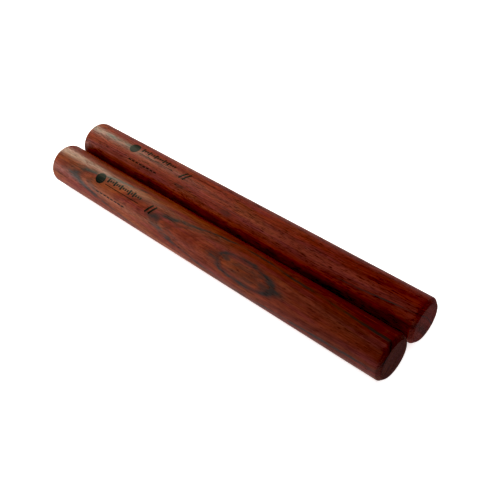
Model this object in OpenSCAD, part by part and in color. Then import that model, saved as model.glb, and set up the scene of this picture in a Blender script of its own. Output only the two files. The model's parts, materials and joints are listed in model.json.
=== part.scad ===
// A pair of claves: two solid hardwood sticks that are struck together.
// One is cupped in the hand and the other one strikes it.
// They lie side by side along X, on the plane z = 0.
// The origin is on that plane, under the middle of the pair.
// All sizes are in millimetres.

/* [Sticks] */
// Length of each stick
stick_length = 200; // [150:1:250]
// Diameter of each stick
stick_diameter = 20; // [15:0.5:30]
// Width of the 45 degree bevel turned on both ends
end_bevel = 1.6; // [0.5:0.1:3]

/* [Lay] */
// Clear space between the two sticks as they lie
lay_gap = 1; // [0.8:0.1:10]

/* [Hidden] */

stick_radius = stick_diameter / 2;
axis_offset = stick_radius + lay_gap / 2; // from the middle of the pair to either axis
round_facets = 96;

// Half the outline of a stick: x is the radius and y the height above one end
stick_outline = [
    [0, 0],
    [stick_radius - end_bevel, 0],
    [stick_radius, end_bevel],
    [stick_radius, stick_length - end_bevel],
    [stick_radius - end_bevel, stick_length],
    [0, stick_length]
];

// A turned stick lying along X on the plane z = 0, with its mid-length at x = 0
module turned_stick() {
    translate([-stick_length / 2, 0, stick_radius])
        rotate([0, 90, 0])
            rotate_extrude($fn = round_facets)
                polygon(stick_outline);
}

// The stick that rests in the cupped hand and is struck
module held_clave() {
    color([0.47, 0.16, 0.11])
        translate([0, -axis_offset, 0])
            turned_stick();
}

// The stick that strikes, lying beside its mate
module striker_clave() {
    color([0.43, 0.13, 0.1])
        translate([0, axis_offset, 0])
            turned_stick();
}

held_clave();
striker_clave();
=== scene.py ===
"""A pair of rosewood claves: two turned sticks with their printed marks, in soft studio light."""

import json
import math

import bmesh
import bpy
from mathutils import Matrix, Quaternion, Vector


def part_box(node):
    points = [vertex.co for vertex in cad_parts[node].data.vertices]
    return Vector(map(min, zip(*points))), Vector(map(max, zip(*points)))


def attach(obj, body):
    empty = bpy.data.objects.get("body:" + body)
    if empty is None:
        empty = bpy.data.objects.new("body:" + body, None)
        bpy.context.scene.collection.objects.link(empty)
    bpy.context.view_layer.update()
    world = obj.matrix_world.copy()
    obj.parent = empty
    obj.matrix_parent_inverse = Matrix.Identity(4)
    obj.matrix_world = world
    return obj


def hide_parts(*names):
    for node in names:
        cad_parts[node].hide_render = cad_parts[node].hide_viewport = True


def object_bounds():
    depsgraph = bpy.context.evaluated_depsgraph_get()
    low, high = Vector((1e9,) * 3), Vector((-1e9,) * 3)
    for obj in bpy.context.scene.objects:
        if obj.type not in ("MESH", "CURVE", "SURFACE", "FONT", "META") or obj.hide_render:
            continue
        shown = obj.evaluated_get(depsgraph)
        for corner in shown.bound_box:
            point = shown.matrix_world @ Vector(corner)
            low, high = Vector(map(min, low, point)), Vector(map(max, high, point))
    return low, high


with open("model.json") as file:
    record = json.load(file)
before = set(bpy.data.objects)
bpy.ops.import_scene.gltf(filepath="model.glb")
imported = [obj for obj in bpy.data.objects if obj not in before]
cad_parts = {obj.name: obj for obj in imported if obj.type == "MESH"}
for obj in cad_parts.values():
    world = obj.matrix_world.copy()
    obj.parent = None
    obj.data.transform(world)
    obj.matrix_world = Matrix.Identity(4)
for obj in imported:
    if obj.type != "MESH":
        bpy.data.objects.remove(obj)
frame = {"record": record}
cad_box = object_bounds()

MM = 0.001
TINY = 0.02 * MM

# The camera: where it looks, in metres, and how it stands, in degrees
LOOKS_AT = Vector((0.01921, -0.00086, 0.01))
CAMERA_AZIMUTH = 49.93
CAMERA_ELEVATION = 46.96
CAMERA_ROLL = -10.86
CAMERA_DISTANCE = 0.3068
CAMERA_LENS = 50.84
NEAREST_SEEN = 0.01

# The turned sticks
ROUND_SEGMENTS = 144
LENGTH_RINGS = 80
EASED_EDGE = 0.35 * MM
EASED_STEPS = 4
END_RINGS = (1.2 * MM, 2.4 * MM, 2.4 * MM)
HAND_FINISH = 0.1 * MM
HAND_FINISH_SPREAD = 0.018
SMOOTH_UP_TO = math.radians(50)

# The printed mark: lengths run from its start towards +X and drops run round the barrel, both in millimetres
INK_THICKNESS = 0.03 * MM
INK_SUNK = 0.01 * MM
INK_CLEAR = 0.4 * MM
INK_GRID = 3  # steps of the ink's mesh in a millimetre
HELD_MARK = (-67.5, 11)  # where it starts along X, and how many degrees it is turned from the top
STRIKER_MARK = (-69.5, -9)
DOT_RADIUS = 3.0
DOT_SIDES = 40
DOT_RINGS = 5
DOT_PLACE = (3.0, 1.2)
STEPS_IN_RHYTHM = 16
SON_CLAVE_STROKES = (0, 3, 6, 10, 12)
RHYTHM_START = 8.2
RHYTHM_PITCH = 1.5
STROKE_MARK = (1.05, 2.9)
REST_MARK = (0.9, 1.25)
RULE_DROP = 2.6
RULE_WIDTH = 0.34
BEAT_DROP = 7.6
BEAT_START = 5.0
BEAT_PITCH = 2.6
BEAT_MARK = (1.8, 0.55)
BEATS = 8
PICTOGRAM_START = 38.2
PICTOGRAM_DROP = 1.9
PICTOGRAM_GAP = 2.4
PICTOGRAM_STICK = (5.4, 1.0)
PICTOGRAM_SLANT = math.radians(62)

# Finishes
WOOD_SHINE = 0.5
FEATHERING = 0.9
PORE_HOLLOW = 0.08 * MM
BUMP_STRENGTH = 0.5
LAYER_RAGGEDNESS = 0.45
SPOT_RAGGEDNESS = 2.2
SEASON_FADE = 0.8
LINE_FADE = 6
DARKEST_LINE = 0.92
FINE_BAND_TINT = (0.62, 0.5, 0.48, 1)
CLOUD_TINT = (0.7, 0.66, 0.66, 1)
SPECKLE_TINT = (0.62, 0.56, 0.54, 1)
FIBRE_TINT = (0.58, 0.48, 0.45, 1)
PORE_TINT = (0.3, 0.22, 0.22, 1)
FLECK_TINT = (0.4, 0.35, 0.35, 1)
INK_SHINE = 0.35
INK_COLOUR = (0.010, 0.016, 0.014, 1)
WORN_INK_COLOUR = (0.055, 0.040, 0.030, 1)

# Floor, room and display
FLOOR_SIZE = 6
FLOOR_DROP = 0.1 * MM
FLOOR_WHITE = (0.85, 0.85, 0.85, 1)
FLOOR_ROUGHNESS = 0.9
FLOOR_GLOW = 0.9
SHADED_STRIP = (0.008, 0.02)
GLOW_IN_FRONT = 0.32
GLOW_BEHIND = 0.12
GLOW_BELOW = 0.5
BACKDROP_GLOW = 1.0
DISPLAY_GAMMA = 0.85
DISPLAY_BLACK = 0.027

# Soft lights: name, place and aim in metres, size, power in watts, colour, and whether the gloss sees them
SOFT_LIGHTS = (
    ("window", (-0.32, 0.095, 0.165), (-0.09, 0, 0.01), (0.14, 0.13), 0.49, (1, 0.98, 0.76), True),
    ("left_side", (-0.24, -0.13, 0.04), (-0.09, 0, 0.01), (0.22, 0.06), 0.12, (1, 0.95, 0.9), True),
    ("front_low", (-0.06, -0.17, 0.03), (-0.06, 0, 0.01), (0.24, 0.04), 0.045, (1, 0.95, 0.95), False),
    ("back_low", (-0.02, 0.45, 0.045), (0, 0, 0.01), (0.5, 0.05), 0.65, (1, 0.97, 0.92), False),
    ("overhead", (-0.03, -0.05, 0.26), (-0.02, 0, 0.01), (0.24, 0.2), 0.31, (1, 0.97, 1), False),
)


# ---------------------------------------------------------------- modelling helpers

def deselect_all():
    """Leaves nothing selected, so that the next operator acts only on what it makes."""
    bpy.ops.object.select_all(action="DESELECT")


def take_up(piece):
    """Makes a piece the only selected and active one."""
    deselect_all()
    piece.select_set(True)
    bpy.context.view_layer.objects.active = piece


def settle(piece):
    """Puts a piece's place, turn and size into its mesh."""
    take_up(piece)
    bpy.ops.object.transform_apply(location=True, rotation=True, scale=True)


def apply_modifiers(piece):
    take_up(piece)
    for modifier in list(piece.modifiers):
        bpy.ops.object.modifier_apply(modifier=modifier.name)


def pick_edges(piece, wanted):
    """In edit mode, selects only the edges for which wanted(first end, second end) holds."""
    bpy.ops.mesh.select_mode(type="EDGE")
    bpy.ops.mesh.select_all(action="DESELECT")
    mesh = bmesh.from_edit_mesh(piece.data)
    for edge in mesh.edges:
        edge.select_set(wanted(edge.verts[0].co, edge.verts[1].co))
    bmesh.update_edit_mesh(piece.data)


def pick_faces(piece, wanted):
    """In edit mode, selects only the faces for which wanted(centre, normal) holds."""
    bpy.ops.mesh.select_mode(type="FACE")
    bpy.ops.mesh.select_all(action="DESELECT")
    mesh = bmesh.from_edit_mesh(piece.data)
    for face in mesh.faces:
        face.select_set(wanted(face.calc_center_median(), face.normal))
    bmesh.update_edit_mesh(piece.data)


# ---------------------------------------------------------------- the sticks

class Barrel:
    """Where a clave lies and how big it is, as the frame says."""

    def __init__(self, node, mount_name):
        mount = next(m for m in frame["record"]["mounts"] if m["name"] == mount_name)
        low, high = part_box(node)
        self.centre = Vector(mount["pos_m"])
        self.radius = mount["dims"]["r_mm"] * MM
        self.length = high.x - low.x
        self.bevel = (self.length - mount["dims"]["length_mm"] * MM) / 2

    def reach(self, place):
        """How far a point is from the middle along the stick, and from its axis."""
        across = math.hypot(place.y - self.centre.y, place.z - self.centre.z)
        return abs(place.x - self.centre.x), across


def turned_stick(name, barrel):
    """A round stick along X, bevelled on both ends, its edges eased and its surface finished by hand."""
    deselect_all()
    bpy.ops.mesh.primitive_cylinder_add(
        vertices=ROUND_SEGMENTS, radius=barrel.radius, depth=barrel.length,
        location=barrel.centre, rotation=(0, math.pi / 2, 0))
    stick = bpy.context.object
    stick.name = name
    settle(stick)
    half = barrel.length / 2

    def runs_lengthwise(first, second):
        return abs(first.x - second.x) > half

    def in_ring(along, across):
        """A test for the edges of the ring at that distance from the middle and from the axis."""
        def test(first, second):
            return all(abs(a - along) < TINY and abs(r - across) < TINY
                       for a, r in (barrel.reach(first), barrel.reach(second)))
        return test

    bpy.ops.object.mode_set(mode="EDIT")
    pick_edges(stick, runs_lengthwise)
    bpy.ops.mesh.subdivide(number_cuts=LENGTH_RINGS - 1)
    pick_edges(stick, in_ring(half, barrel.radius))
    bpy.ops.mesh.bevel(offset=barrel.bevel, segments=1)
    for along, across in ((half, barrel.radius - barrel.bevel), (half - barrel.bevel, barrel.radius)):
        pick_edges(stick, in_ring(along, across))
        bpy.ops.mesh.bevel(offset=EASED_EDGE, segments=EASED_STEPS)
    pick_faces(stick, lambda centre, normal: abs(normal.x) > 0.999 and barrel.reach(centre)[1] < TINY)
    for step in END_RINGS:
        bpy.ops.mesh.inset(thickness=step)
    bpy.ops.mesh.poke()
    bpy.ops.object.mode_set(mode="OBJECT")

    waviness = bpy.data.textures.new(name + "_hand_finish", "CLOUDS")
    waviness.noise_scale = HAND_FINISH_SPREAD
    finish = stick.modifiers.new("hand_finish", "DISPLACE")
    finish.texture = waviness
    finish.texture_coords = "LOCAL"
    finish.strength = HAND_FINISH
    apply_modifiers(stick)
    bpy.ops.object.shade_smooth_by_angle(angle=SMOOTH_UP_TO)
    return stick


# ---------------------------------------------------------------- the printed marks

def bar(along, drop, size, slant=0.0):
    """A bar of ink: its middle along and round the barrel, its length and width, and its slant."""
    return {"along": along, "drop": drop, "size": size, "slant": slant}


def mark_bars():
    """The bars of the mark: the steps of a rhythm over a rule, a row of beats, and a pair of sticks."""
    bars = []
    for step in range(STEPS_IN_RHYTHM):
        size = STROKE_MARK if step in SON_CLAVE_STROKES else REST_MARK
        bars.append(bar(RHYTHM_START + step * RHYTHM_PITCH, 0.0, size))
    rhythm_length = (STEPS_IN_RHYTHM - 1) * RHYTHM_PITCH
    rule = (rhythm_length + STROKE_MARK[0], RULE_WIDTH)
    bars.append(bar(RHYTHM_START + rhythm_length / 2, RULE_DROP, rule))
    for beat in range(BEATS):
        bars.append(bar(BEAT_START + beat * BEAT_PITCH, BEAT_DROP, BEAT_MARK))
    for side in range(2):
        along = PICTOGRAM_START + side * PICTOGRAM_GAP
        bars.append(bar(along, PICTOGRAM_DROP, PICTOGRAM_STICK, PICTOGRAM_SLANT))
    return bars


def ink_dot():
    """A flat disc of ink as rings of faces round a middle point."""
    bpy.ops.mesh.primitive_circle_add(
        vertices=DOT_SIDES, radius=DOT_RADIUS * MM, fill_type="NGON", location=(0, 0, 0))
    disc = bpy.context.object
    bpy.ops.object.mode_set(mode="EDIT")
    for _ in range(DOT_RINGS):
        bpy.ops.mesh.inset(thickness=DOT_RADIUS * MM / (DOT_RINGS + 1))
    bpy.ops.mesh.poke()
    bpy.ops.object.mode_set(mode="OBJECT")
    return disc


def ink_bar(size, slant):
    """A flat slanted bar of ink as a fine grid of faces."""
    length, width = size
    bpy.ops.mesh.primitive_grid_add(
        x_subdivisions=max(2, round(length * INK_GRID)), y_subdivisions=max(2, round(width * INK_GRID)),
        size=1.0, location=(0, 0, 0))
    patch = bpy.context.object
    patch.scale = (length * MM, width * MM, 1)
    settle(patch)
    patch.rotation_euler = (0, 0, slant)
    settle(patch)
    return patch


def lay_on_barrel(patch, barrel, start, angle, along, drop):
    """Moves a flat patch just off the barrel, at its own place along it and round it."""
    patch.location = (0, 0, barrel.radius + INK_CLEAR)
    settle(patch)
    patch.rotation_euler = (angle + drop * MM / barrel.radius, 0, 0)
    settle(patch)
    patch.location = (start + along * MM, barrel.centre.y, barrel.centre.z)
    settle(patch)
    return patch


def printed_mark(name, barrel, stick, start, angle):
    """The mark as a film of ink on the stick, from start along X and turned by angle from the top."""
    patches = [lay_on_barrel(ink_dot(), barrel, start, angle, *DOT_PLACE)]
    for each in mark_bars():
        patch = ink_bar(each["size"], each["slant"])
        patches.append(lay_on_barrel(patch, barrel, start, angle, each["along"], each["drop"]))
    deselect_all()
    for patch in patches:
        patch.select_set(True)
    bpy.context.view_layer.objects.active = patches[0]
    bpy.ops.object.join()
    film = bpy.context.object
    film.name = name
    wrap = film.modifiers.new("laid_on_the_wood", "SHRINKWRAP")
    wrap.target = stick
    wrap.wrap_method = "NEAREST_SURFACEPOINT"
    wrap.wrap_mode = "ABOVE_SURFACE"
    wrap.offset = INK_THICKNESS
    thickness = film.modifiers.new("film", "SOLIDIFY")
    thickness.thickness = INK_THICKNESS + INK_SUNK
    thickness.offset = -1
    apply_modifiers(film)
    return film


# ---------------------------------------------------------------- materials

class Recipe:
    """Shader nodes, put together step by step."""

    def __init__(self, tree):
        self.tree = tree

    def feed(self, socket, value):
        """Links a socket to another node's output, or sets it to a plain value."""
        if isinstance(value, bpy.types.NodeSocket):
            self.tree.links.new(value, socket)
        else:
            socket.default_value = value

    def node(self, kind, inputs, **settings):
        """Adds a node with its settings and fills its inputs."""
        node = self.tree.nodes.new("ShaderNode" + kind)
        for setting, value in settings.items():
            setattr(node, setting, value)
        for socket, value in inputs.items():
            self.feed(node.inputs[socket], value)
        return node

    def math(self, operation, first, second=0.0):
        return self.node("Math", {0: first, 1: second}, operation=operation).outputs[0]

    def sum(self, first, second):
        return self.math("ADD", first, second)

    def product(self, first, second):
        return self.math("MULTIPLY", first, second)

    def parts(self, vector):
        """The three parts of a vector."""
        return self.node("SeparateXYZ", {0: vector}).outputs

    def between(self, value, low, high, to_low=0.0, to_high=1.0):
        """How far value has come from low to high, smoothly, as a share from to_low to to_high."""
        sockets = {"Value": value, "From Min": low, "From Max": high, "To Min": to_low, "To Max": to_high}
        return self.node("MapRange", sockets, interpolation_type="SMOOTHSTEP").outputs[0]

    def stretched(self, place, along, across):
        """A place in a grain that has so many steps a millimetre along the stick and across it."""
        steps = (along, across, across)
        return self.node("VectorMath", {0: place, 1: steps}, operation="MULTIPLY").outputs[0]

    def noise(self, place, detail=2.0, roughness=0.5):
        """Soft noise of about 0 to 1 over a place, which is a vector."""
        sockets = {"Vector": place, "Scale": 1.0, "Detail": detail, "Roughness": roughness}
        return self.node("TexNoise", sockets).outputs[0]

    def noise_along(self, value, detail=2.0, roughness=0.5):
        """Soft noise of about 0 to 1 over a single value."""
        sockets = {"W": value, "Scale": 1.0, "Detail": detail, "Roughness": roughness}
        return self.node("TexNoise", sockets, noise_dimensions="1D").outputs[0]

    def blend(self, share, first, second):
        """A colour that goes from first to second with share."""
        return self.node("Mix", {0: share, 6: first, 7: second}, data_type="RGBA").outputs[2]

    def deepen(self, share, colour, tint):
        """Multiplies a colour by a tint, as far as share says."""
        sockets = {0: share, 6: colour, 7: tint}
        return self.node("Mix", sockets, data_type="RGBA", blend_type="MULTIPLY").outputs[2]


def new_material(name):
    """A material, its recipe and its shader."""
    material = bpy.data.materials.new(name)
    material.use_nodes = True
    return material, Recipe(material.node_tree), material.node_tree.nodes["Principled BSDF"]


def rise(r, along, points, half_length):
    """How high the growth layers stand along a stick, in millimetres, through points (place, height)."""
    top = max(height for _, height in points)
    sockets = {"Value": along, "From Min": -half_length, "From Max": half_length}
    share = r.node("MapRange", sockets).outputs[0]
    curve_node = r.node("FloatCurve", {"Value": share})
    curve = curve_node.mapping.curves[0]
    places = [((place + half_length) / (2 * half_length), height / top) for place, height in points]
    curve.points[0].location = places[0]
    curve.points[1].location = places[-1]
    for place in places[1:-1]:
        curve.points.new(*place)
    curve_node.mapping.update()
    return r.product(curve_node.outputs[0], top)


def growth_layers(r, coordinates, barrel, figure):
    """The place in the grain in millimetres, how far along the stick and round it that is, and its growth
    layer: rings round a far-off pith that rise and fall along the stick, drift and are ragged."""
    placed = r.node("Mapping", {
        "Vector": coordinates, "Location": barrel.centre,
        "Rotation": (figure["turn"], 0, 0), "Scale": (MM, MM, MM)}, vector_type="TEXTURE").outputs[0]
    along, across, depth = r.parts(placed)
    from_pith = r.sum(depth, figure["pith"])
    ring = r.math("SQRT", r.sum(r.product(from_pith, from_pith), r.product(across, across)))
    height = rise(r, along, figure["rise"], barrel.length / MM / 2)
    drift = r.product(r.sum(r.noise(r.stretched(placed, 0.05, 0.18)), -0.5), figure["drift"])
    ragged = r.sum(r.noise(r.stretched(placed, 0.3, 1.1), detail=4.0, roughness=0.6), -0.5)
    ragged = r.product(ragged, LAYER_RAGGEDNESS)
    layer = r.sum(r.sum(r.sum(ring, -figure["pith"]), height), r.sum(drift, ragged))
    turned = r.math("ARCTAN2", r.product(across, -1.0), depth)
    around = r.product(r.sum(turned, figure["turn"]), barrel.radius / MM)
    return placed, along, around, layer


def wood_tones(r, placed, along, layer, fibre, figure):
    """The wood's colour: broad warm and pink bands, fine bands, streaks of fibre, and a darkening towards the
    right end that is partly the wood's tone and partly painted shade of the light falling off from the left.
    """
    broad = r.between(r.noise_along(r.product(layer, 0.55), detail=2.0), 0.36, 0.64)
    fine = r.between(r.noise_along(r.product(layer, 2.4), detail=3.0), 0.4, 0.68)
    rosy = r.between(r.noise(r.stretched(placed, 0.035, 0.42), detail=3.0), 0.46, 0.66)
    tawny = r.between(r.noise(r.stretched(placed, 0.045, 0.28), detail=3.0), 0.5, 0.68)
    for low, high in figure["tawny_layers"]:
        begun = r.between(layer, low, low + SEASON_FADE)
        not_over = r.between(layer, high, high - SEASON_FADE)
        season = r.product(begun, not_over)
        tawny = r.math("MAXIMUM", tawny, season)
    speckle = r.between(r.noise(r.stretched(placed, 0.28, 1.5), detail=3.0, roughness=0.65), 0.46, 0.66)
    cloudy = r.between(r.noise(r.stretched(placed, 0.06, 0.22), detail=2.0), 0.35, 0.65)
    colour = r.blend(broad, figure["dark_wood"], figure["light_wood"])
    colour = r.blend(r.product(rosy, figure["rosiness"]), colour, figure["rosy_wood"])
    colour = r.blend(r.product(tawny, r.between(along, -10, 90, 0.6, 0.15)), colour, figure["tawny_wood"])
    colour = r.deepen(r.product(fine, 0.5), colour, FINE_BAND_TINT)
    colour = r.deepen(r.product(cloudy, 0.35), colour, CLOUD_TINT)
    colour = r.deepen(r.product(speckle, 0.6), colour, SPECKLE_TINT)
    colour = r.deepen(r.product(fibre, 0.75), colour, FIBRE_TINT)
    # Darker towards the right end: partly the wood's tone, partly painted shade of the light falling off from
    # the left.
    tone_and_shade_to_right = r.between(along, -20, 110)
    return r.deepen(tone_and_shade_to_right, colour, figure["tone_and_shade_to_right_tint"])


def dark_lines(r, placed, along, layer, figure):
    """How much of the dark between-season lines there is, together with the wide band of painted shade that a
    figure may list among its lines. Each line is a soft shade with a darker core; it is feathered along the
    grain, broken in places, and runs only between two places along the stick."""
    feather = r.sum(r.noise(r.stretched(placed, 0.13, 1.7), detail=3.0, roughness=0.6), -0.5)
    feather = r.product(feather, FEATHERING)
    feathered = r.sum(layer, feather)
    patchy = r.between(r.noise(r.stretched(placed, 0.11, 0.35), detail=2.0), 0.34, 0.6, 0.35, 1.0)
    lines = 0.0
    for level, width, strength, start, end in figure["lines"]:
        away = r.math("ABSOLUTE", r.sum(feathered, -level))
        shade = r.between(away, width * 2.2, width * 0.4, 0.0, 0.72)
        core = r.product(r.between(away, width, width * 0.1), r.product(patchy, 0.5))
        begun = r.between(along, start - LINE_FADE, start + LINE_FADE)
        not_over = r.between(along, end + LINE_FADE, end - LINE_FADE)
        here = r.product(begun, not_over)
        line = r.product(r.product(r.sum(shade, core), here), strength)
        lines = line if lines == 0.0 else r.math("MAXIMUM", lines, line)
    return r.math("MINIMUM", r.product(lines, patchy), DARKEST_LINE)


def dark_spots(r, placed, along, around, radius, figure):
    """How much of the blue-black mineral spots there is: soft long spots, ragged along the grain."""
    ragged = r.sum(r.noise(r.stretched(placed, 0.25, 1.5), detail=3.0, roughness=0.65), -0.5)
    ragged = r.product(ragged, SPOT_RAGGEDNESS)
    spots = 0.0
    for place, angle, length, width, strength in figure["spots"]:
        lengthwise = r.product(r.sum(along, -place), 2 / length)
        widthwise = r.product(r.sum(around, -math.radians(angle) * radius), 2 / width)
        away = r.sum(r.product(lengthwise, lengthwise), r.product(widthwise, widthwise))
        spot = r.between(r.sum(away, ragged), 1.25, 0.0, 0.0, strength)
        spots = spot if spots == 0.0 else r.math("MAXIMUM", spots, spot)
    return spots


def open_pores(r, placed, figure):
    """How much of an open pore there is: short narrow dashes along the grain, some places richer in them."""
    richer = r.between(r.noise(r.stretched(placed, 0.05, 0.25)), 0.35, 0.65, 0.045, -0.02)
    dashes = r.sum(r.noise(r.stretched(placed, 0.3, 4.2), detail=1.0), r.product(richer, -1.0))
    return r.between(r.sum(dashes, figure["pore_wealth"]), 0.62, 0.69)


def end_grain(r, coordinates, placed, colour, figure):
    """Shows the end grain on the faces square to the stick: darker, with a fleck for each pore cut across."""
    square_on = r.math("ABSOLUTE", r.parts(coordinates["Normal"])[0])
    share = r.between(square_on, 0.3, 0.95)
    flecks = r.between(r.noise(r.stretched(placed, 1.0, 3.2), detail=2.0), 0.5, 0.7)
    tinted = r.deepen(1.0, colour, figure["end_tint"])
    cut = r.deepen(r.product(flecks, 0.8), tinted, FLECK_TINT)
    return r.blend(share, colour, cut), share


def rosewood(name, barrel, figure):
    """Oiled rosewood, cut from a figured log, in satin finish."""
    material, r, shader = new_material(name)
    coordinates = r.node("TexCoord", {}).outputs
    placed, along, around, layer = growth_layers(r, coordinates["Object"], barrel, figure)
    fibre = r.between(r.noise(r.stretched(placed, 0.05, 2.0), detail=4.0, roughness=0.65), 0.35, 0.68)
    # The lines carry the striker's wide band of painted shade from the gap between the sticks.
    lines = dark_lines(r, placed, along, layer, figure)
    spots = dark_spots(r, placed, along, around, barrel.radius / MM, figure)
    pores = open_pores(r, placed, figure)
    colour = wood_tones(r, placed, along, layer, fibre, figure)
    colour = r.blend(r.math("MAXIMUM", lines, spots), colour, figure["line_colour"])
    colour = r.deepen(r.product(pores, figure["pore_depth"]), colour, PORE_TINT)
    colour, end = end_grain(r, coordinates, placed, colour, figure)
    r.feed(shader.inputs["Base Color"], colour)
    uneven = r.sum(r.product(fibre, 0.08), r.sum(r.product(pores, 0.2), r.product(end, 0.35)))
    r.feed(shader.inputs["Roughness"], r.sum(uneven, figure["roughness"]))
    shader.inputs["Specular IOR Level"].default_value = WOOD_SHINE
    hollows = r.sum(r.product(pores, -1.0), r.product(fibre, -0.3))
    bump = r.node("Bump", {"Height": hollows, "Strength": BUMP_STRENGTH, "Distance": PORE_HOLLOW}).outputs[0]
    r.feed(shader.inputs["Normal"], bump)
    return material


def printing_ink(name):
    """Greenish black ink, thinner where the wood's pores drew it in."""
    material, r, shader = new_material(name)
    coordinates = r.node("TexCoord", {}).outputs["Object"]
    placed = r.stretched(coordinates, 1 / MM, 1 / MM)
    worn = r.between(r.noise(r.stretched(placed, 0.3, 2.2), detail=3.0), 0.5, 0.78)
    r.feed(shader.inputs["Base Color"], r.blend(worn, INK_COLOUR, WORN_INK_COLOUR))
    r.feed(shader.inputs["Roughness"], r.between(worn, 0.0, 1.0, 0.5, 0.65))
    shader.inputs["Specular IOR Level"].default_value = INK_SHINE
    return material


def dress(piece, material):
    piece.data.materials.clear()
    piece.data.materials.append(material)


# ---------------------------------------------------------------- floor, light and camera

def pale_floor():
    """A wide white floor that glows, but not under the sticks, where the missing glow is a painted contact
    shadow. The wood's gloss doesn't see it.
    """
    deselect_all()
    bpy.ops.mesh.primitive_plane_add(size=FLOOR_SIZE, location=(0, 0, -FLOOR_DROP))
    floor = bpy.context.object
    floor.name = "floor"
    material, r, shader = new_material("pale_floor")
    shader.inputs["Base Color"].default_value = FLOOR_WHITE
    shader.inputs["Roughness"].default_value = FLOOR_ROUGHNESS
    shader.inputs["Specular IOR Level"].default_value = 0.0
    shader.inputs["Emission Color"].default_value = (1, 1, 1, 1)
    place = r.parts(r.node("TexCoord", {}).outputs["Object"])
    # No glow in a strip under and just around the sticks: a painted contact shadow.
    past_the_ends = r.sum(r.math("ABSOLUTE", place[0]), SHADED_STRIP[1] - cad_box[1][0])
    outside = r.math("MAXIMUM", past_the_ends, r.math("ABSOLUTE", place[1]))
    r.feed(shader.inputs["Emission Strength"], r.between(outside, *SHADED_STRIP, 0.0, FLOOR_GLOW))
    dress(floor, material)
    floor.visible_glossy = False


def soft_light(name, place, looks_at, size, power, colour, in_the_gloss):
    deselect_all()
    bpy.ops.object.light_add(type="AREA", location=place)
    light = bpy.context.object
    light.name = name
    light.data.shape = "RECTANGLE"
    light.data.size, light.data.size_y = size
    light.data.energy = power
    light.data.color = colour
    light.visible_glossy = in_the_gloss
    light.rotation_euler = (Vector(looks_at) - Vector(place)).to_track_quat("-Z", "Y").to_euler()


def room():
    """A plain room, brighter in front than behind, with one more glow below that only the gloss sees.
    The camera sees a plain white backdrop past the floor, while the sticks are lit by the dimmer glow."""
    world = bpy.data.worlds.new("room")
    world.use_nodes = True
    r = Recipe(world.node_tree)
    background = world.node_tree.nodes["Background"]
    _, backward, upward = r.parts(r.node("TexCoord", {}).outputs["Generated"])
    above = r.between(backward, -0.3, 0.35, GLOW_IN_FRONT, GLOW_BEHIND)
    background.inputs["Color"].default_value = (1, 1, 1, 1)
    glow = r.between(upward, -0.02, 0.02, GLOW_BELOW, above)
    seen = r.node("LightPath", {}).outputs["Is Camera Ray"]
    r.feed(background.inputs["Strength"], r.math("MAXIMUM", glow, r.product(seen, BACKDROP_GLOW)))
    bpy.context.scene.world = world


def display():
    """A plain display with deep blacks and a little contrast."""
    view = bpy.context.scene.view_settings
    view.view_transform = "Standard"
    view.gamma = DISPLAY_GAMMA
    view.use_curve_mapping = True
    view.curve_mapping.black_level = (DISPLAY_BLACK,) * 3
    view.curve_mapping.update()


def camera():
    azimuth, elevation = math.radians(CAMERA_AZIMUTH), math.radians(CAMERA_ELEVATION)
    back = Vector((math.sin(azimuth) * math.cos(elevation),
                   -math.cos(azimuth) * math.cos(elevation), math.sin(elevation)))
    bpy.ops.object.camera_add(location=LOOKS_AT + back * CAMERA_DISTANCE)
    made = bpy.context.object
    made.data.lens = CAMERA_LENS
    made.data.clip_start = NEAREST_SEEN
    upright = (-back).to_track_quat("-Z", "Y")
    made.rotation_mode = "QUATERNION"
    made.rotation_quaternion = upright @ Quaternion((0, 0, 1), math.radians(CAMERA_ROLL))
    bpy.context.scene.camera = made


# ---------------------------------------------------------------- the claves

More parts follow.
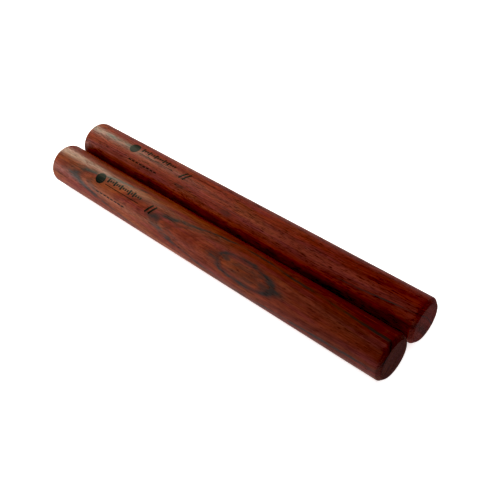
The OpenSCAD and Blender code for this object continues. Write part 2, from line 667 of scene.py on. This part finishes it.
HELD_FIGURE = {
    "turn": math.radians(38), "pith": 70.0, "drift": 0.5, "roughness": 0.34,
    "rise": [(-100, 1.0), (-82, 2.0), (-74, 2.6), (-65, 3.2), (-50, 4.4), (-38, 5.7), (-23, 7.1), (-18, 7.5),
             (-10, 8.1), (0, 9.0), (10, 10.1), (16, 10.5), (20, 11.2), (33, 11.5), (42, 11.0), (46, 10.6),
             (50, 10.35), (60, 10.1), (70, 9.75), (100, 8.8)],
    "lines": [(12.0, 0.34, 0.9, -110, -36), (12.9, 0.14, 0.4, -110, -50), (17.0, 0.34, 0.95, -110, 110),
              (17.8, 0.12, 0.35, -30, 30), (20.5, 0.3, 0.95, 5, 52), (21.3, 0.15, 0.4, 22, 46)],
    "spots": [(-81, 38, 8, 3.2, 0.6), (-23, 31, 7, 3.4, 0.85), (20, 28, 6, 3, 0.8), (17.5, 52, 5, 4, 0.6),
              (31, 10, 11, 1.6, 0.6), (39, 24, 6, 2.2, 0.6), (42, 42, 7, 4, 0.7)],
    "tawny_layers": [(12.2, 14.6), (20.7, 25)],
    "light_wood": (0.39, 0.098, 0.045, 1), "dark_wood": (0.255, 0.058, 0.034, 1),
    "rosy_wood": (0.335, 0.077, 0.072, 1), "rosiness": 0.6, "tawny_wood": (0.42, 0.14, 0.05, 1),
    "line_colour": (0.05, 0.045, 0.042, 1),
    # The first tint below darkens towards the right end: partly the wood's tone, partly painted shade of the
    # light falling off from the left.
    "tone_and_shade_to_right_tint": (0.66, 0.6, 0.66, 1), "end_tint": (0.6, 0.6, 0.66, 1), "pore_depth": 0.7,
    "pore_wealth": 0.02,
}

STRIKER_FIGURE = {
    "turn": math.radians(-60), "pith": 60.0, "drift": 0.8, "roughness": 0.34,
    "rise": [(-100, 6.0), (-40, 6.0), (20, 6.1), (60, 6.0), (75, 5.1), (87, 4.1), (100, 3.0)],
    # The second line, at level 0.3, is painted shade: a wide soft dark band on the side facing the held
    # stick, for the shadow in the gap between the sticks.
    "lines": [(4.6, 0.22, 0.9, 62, 110), (0.3, 1.3, 0.5, -110, 110), (11.5, 0.75, 0.8, -110, -66),
              (7.6, 0.2, 0.4, -45, 10)],
    "spots": [(-29, 35, 9, 2.4, 0.5), (1, 37, 9, 2.8, 0.5), (-52, 36, 16, 1.4, 0.3)],
    "tawny_layers": [(8.6, 9.6)],
    "light_wood": (0.455, 0.107, 0.060, 1), "dark_wood": (0.305, 0.071, 0.048, 1),
    "rosy_wood": (0.37, 0.093, 0.088, 1), "rosiness": 0.7, "tawny_wood": (0.47, 0.14, 0.056, 1),
    "line_colour": (0.05, 0.043, 0.040, 1),
    # The first tint below darkens towards the right end: partly the wood's tone, partly painted shade of the
    # light falling off from the left.
    "tone_and_shade_to_right_tint": (0.75, 0.6, 0.66, 1), "end_tint": (0.8, 0.75, 0.8, 1), "pore_depth": 0.9,
    "pore_wealth": 0.05,
}


def clave(role, figure, mark, ink):
    """One clave: its stick stands for the CAD node, and its ink mark rides with it."""
    node = role + "_clave"
    barrel = Barrel(node, role + "_barrel")
    stick = turned_stick(role + "_stick", barrel)
    start, angle = mark
    dress(stick, rosewood(role + "_rosewood", barrel, figure))
    print_on_it = printed_mark(role + "_ink_mark", barrel, stick, start * MM, math.radians(angle))
    dress(print_on_it, ink)
    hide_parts(node)
    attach(stick, node)
    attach(print_on_it, node)


INK = printing_ink("printing_ink")
clave("held", HELD_FIGURE, HELD_MARK, INK)
clave("striker", STRIKER_FIGURE, STRIKER_MARK, INK)

pale_floor()
room()
for each in SOFT_LIGHTS:
    soft_light(*each)
display()
camera()
